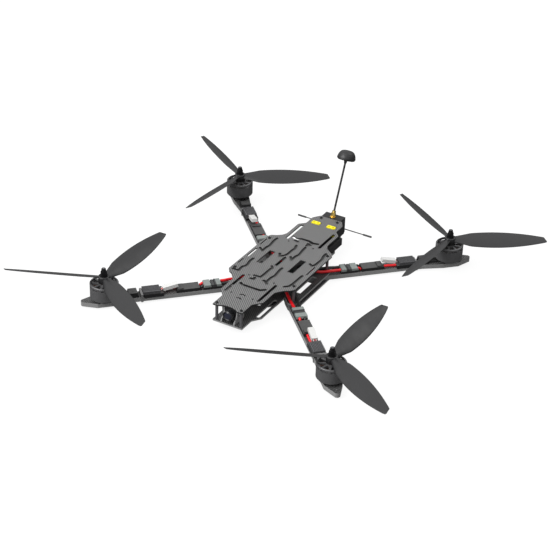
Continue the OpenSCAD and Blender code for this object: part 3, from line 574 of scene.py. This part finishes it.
red_runs = [(arm_run(RED_SIDE), LEAD_R, 0), (link_run(RED_SIDE), LINK_R, 0), (outer_red_run(), LINK_R, 0)]
black_runs = [(arm_run(-RED_SIDE), LEAD_R, 0), (link_run(-RED_SIDE), LINK_R, 0)]
phase_runs = [(motor_run(lane), PHASE_R, 0) for lane in LANES]
signal_runs = [(signal_run(lane), SIGNAL_R, look) for look, lane in enumerate(LANES)]
leads("red_leads", "power_leads_red", red_runs, ["red"])
leads("black_leads", "power_leads_black", black_runs, ["black"])
leads("phase_leads", "motor_leads", phase_runs, ["black"])
leads("thin_wires", "signal_wires", signal_runs, ["wire_white", "red", "wire_pink"])


# ---------- camera lens ----------


def aimed(rings, spot):
    """Turns a body made along +Z so that it points to the nose, with its foot at a place."""
    return [[(spot + Vector((p.z, p.y, -p.x))) * MM for p in ring] for ring in rings]


# All of these are in millimetres, and heights start at the lens's foot.
LENS_FOOT = Vector((160, 0, 27.5))
LENS_R, NECK_R, CORE_R, LENS_H = 9.0, 7.9, 0.5, 12.0
GROOVE_FOOT, GROOVE_PITCH, GROOVE_R, GROOVES = 4.2, 0.95, 8.7, 6
GLASS_R, GLASS_FOOT, DOME_FOOT, DOME_RISE, DOME_CUTS = 6.6, 10.3, 10.5, 1.3, 12


def make_barrel():
    """A neck and a grooved barrel with a rolled rim round its glass."""
    foot = [(CORE_R, 0.0), (NECK_R, 0.0), (NECK_R, 3.1), (8.8, 3.1), (LENS_R, 3.4)]
    grip = []
    for i in range(GROOVES):
        start = GROOVE_FOOT + i * GROOVE_PITCH
        grip += [(LENS_R, start), (LENS_R, start + 0.45), (GROOVE_R, start + 0.55), (GROOVE_R, start + 0.85)]
    rim = [(LENS_R, 10.2), (LENS_R, 11.4), (8.4, LENS_H), (7.5, LENS_H), (7.2, 11.2), (GLASS_R, 10.6),
           (CORE_R, DOME_FOOT)]
    points, faces = gathered([aimed(lathe(foot + grip + rim, 72), LENS_FOOT)])
    barrel = piece("lens_barrel", points, faces, ["lens"], "camera")
    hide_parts("camera_lens")


def make_front_element():
    """A low glass dome."""
    turns = [math.pi * k / (2 * DOME_CUTS) for k in range(DOME_CUTS)]
    dome = [(GLASS_R * math.cos(t), DOME_FOOT + DOME_RISE * math.sin(t)) for t in turns]
    points, faces = gathered([aimed(lathe([(GLASS_R, GLASS_FOOT)] + dome, 64), LENS_FOOT)])
    piece("lens_front_element", points, faces, ["glass"], "camera", crease=60.0)


make_barrel()
make_front_element()


# ---------- small parts on the boards ----------


# The width, length and height of each kind of package. Lengths here are in millimetres.
PACKAGES = [(2.0, 1.2, 0.7), (1.2, 2.0, 0.7), (1.0, 0.6, 0.5), (3.0, 3.0, 0.9), (1.6, 1.6, 0.8)]
POST_PLACE, POST_ROOM = 15.25, 5.5
PACKAGE_GAP = 0.4
RIM_HEIGHT, RIM_INSET = 0.15, 0.12


def meets(x, y, a, b, others, room):
    """Whether a package of sides a and b comes within room of any other box (x, y, half sides)."""
    return any(abs(x - u) < w + a / 2 + room and abs(y - v) < t + b / 2 + room for u, v, w, t in others)


def chips(name, z, half_x, half_y, keep_out, count, seed):
    """Low packages with bevelled tops, scattered round the middle of a board and off its posts."""
    rnd = random.Random(seed)
    parts = []
    taken = []
    while len(parts) < count:
        a, b, h = rnd.choice(PACKAGES)
        x, y = rnd.uniform(-half_x, half_x), rnd.uniform(-half_y, half_y)
        on_post = abs(abs(x) - POST_PLACE) < POST_ROOM and abs(abs(y) - POST_PLACE) < POST_ROOM
        if on_post or meets(x, y, a, b, keep_out, 0.0) or meets(x, y, a, b, taken, PACKAGE_GAP):
            continue
        taken.append((x, y, a / 2, b / 2))
        rings = []
        for inset, height in ((0.0, 0.0), (0.0, h - RIM_HEIGHT), (RIM_INSET, h)):
            u, v = a / 2 - inset, b / 2 - inset
            corners = ((-u, -v), (u, -v), (u, v), (-u, v))
            rings.append([Vector((x + i, y + j, z + height)) * MM for i, j in corners])
        parts.append(rings)
    points, faces = gathered(parts)
    piece(name, points, faces, ["chip"], "frame", crease=20.0)


# The taller parts that the boards already have: their middles and half sides, with a margin
controller_parts = [(0, 0, 5.4, 5.4), (-12.5, 0, 3.9, 4.4), (11.5, -6, 2.9, 3.4)]
power_parts = [(0, 0, 15, 12.4)]
chips("controller_chips", 29.6, 16.5, 16.5, controller_parts, count=46, seed=3)
chips("power_board_chips", 20.6, 18, 19, power_parts, count=30, seed=5)


# ---------- stage ----------


# Lengths are in metres from here on, and powers in watts.
FLOOR_HALF, FLOOR_DROP = 9.0, 0.0005
FLOOR_SHADE, FLOOR_GLOW = 0.14, 0.88
# The sky is brightest towards this direction and is never darker than its least level.
SKY_LEAN = (0.12, -0.22, 0.95)
SKY_LEVEL, SKY_LEAST = 0.35, 0.1
WHITE = (1.0, 1.0, 1.0, 1.0)
LAMP_SIZE = 2.0


def make_floor():
    """A pale floor that takes shadows and is clear from below, where the underside is looked at."""
    s = FLOOR_HALF
    mesh = bpy.data.meshes.new("floor")
    mesh.from_pydata([(-s, -s, 0), (s, -s, 0), (s, s, 0), (-s, s, 0)], [], [(0, 1, 2, 3)])
    floor = bpy.data.objects.new("floor", mesh)
    bpy.context.scene.collection.objects.link(floor)
    g = Graph("pale floor")
    g.finish(rgba(FLOOR_SHADE), 0.9, specular=0.0)
    g.bsdf.inputs["Emission Color"].default_value = WHITE
    seen = g.nt.nodes.new("ShaderNodeLightPath").outputs["Is Camera Ray"]
    g.put(g.bsdf.inputs["Emission Strength"], g.math("MULTIPLY", seen, FLOOR_GLOW))
    below = g.nt.nodes.new("ShaderNodeNewGeometry").outputs["Backfacing"]
    clear = g.nt.nodes.new("ShaderNodeBsdfTransparent")
    choice = g.nt.nodes.new("ShaderNodeMixShader")
    g.put(choice.inputs[0], below)
    g.put(choice.inputs[1], g.bsdf.outputs[0])
    g.put(choice.inputs[2], clear.outputs[0])
    g.put(g.out.inputs[0], choice.outputs[0])
    floor.data.materials.append(g.mat)
    floor.location.z = -FLOOR_DROP


def make_sky():
    """White light that falls off away from one direction."""
    world = bpy.data.worlds.new("studio")
    bpy.context.scene.world = world
    world.use_nodes = True
    tree = world.node_tree
    backdrop = tree.nodes["Background"]
    backdrop.inputs[0].default_value = WHITE
    lean = tree.nodes.new("ShaderNodeVectorMath")
    lean.operation = "DOT_PRODUCT"
    lean.inputs[1].default_value = SKY_LEAN
    tree.links.new(tree.nodes.new("ShaderNodeTexCoord").outputs["Generated"], lean.inputs[0])
    value = lean.outputs["Value"]
    for operation, amount in (("ADD", SKY_LEVEL), ("MAXIMUM", SKY_LEAST)):
        node = tree.nodes.new("ShaderNodeMath")
        node.operation = operation
        node.inputs[1].default_value = amount
        tree.links.new(value, node.inputs[0])
        value = node.outputs[0]
    tree.links.new(value, backdrop.inputs[1])


def area_light(name, spot, power):
    """A square lamp that points to the middle of the craft."""
    data = bpy.data.lights.new(name, "AREA")
    data.shape = "SQUARE"
    data.size = LAMP_SIZE
    data.energy = power
    lamp = bpy.data.objects.new(name, data)
    bpy.context.scene.collection.objects.link(lamp)
    lamp.location = spot
    lamp.rotation_euler = (-Vector(spot)).to_track_quat("-Z", "Y").to_euler()


# Where the camera looks and from where. Angles are in degrees, and the lens is in millimetres.
CAMERA_TARGET = Vector((0.06151, 0.02317, 0.0565))
CAMERA_AZIMUTH, CAMERA_ELEVATION, CAMERA_ROLL = 119.549, 31.526, 1.70
CAMERA_DISTANCE, CAMERA_LENS = 2.5145, 100.44


def make_camera():
    azimuth, elevation = math.radians(CAMERA_AZIMUTH), math.radians(CAMERA_ELEVATION)
    roll = math.radians(CAMERA_ROLL)
    level = math.cos(elevation)
    back = Vector((math.sin(azimuth) * level, -math.cos(azimuth) * level, math.sin(elevation)))
    right = (-back).cross(Vector((0, 0, 1))).normalized()
    up = right.cross(-back)
    x_axis = right * math.cos(roll) + up * math.sin(roll)
    y_axis = up * math.cos(roll) - right * math.sin(roll)
    data = bpy.data.cameras.new("camera")
    data.sensor_width = 36.0
    data.lens = CAMERA_LENS
    data.clip_end = 50
    camera = bpy.data.objects.new("camera", data)
    bpy.context.scene.collection.objects.link(camera)
    spot = CAMERA_TARGET + back * CAMERA_DISTANCE
    columns = [axis.to_4d() for axis in (x_axis, y_axis, back, spot)]
    for column in columns[:3]:
        column.w = 0.0
    camera.matrix_world = Matrix(columns).transposed()
    bpy.context.scene.camera = camera


make_floor()
make_sky()
area_light("key light", (2.2, -1.3, 1.9), power=80)
area_light("back light", (-1.6, 1.4, 2.4), power=16)
make_camera()
bpy.context.scene.view_settings.view_transform = "Standard"
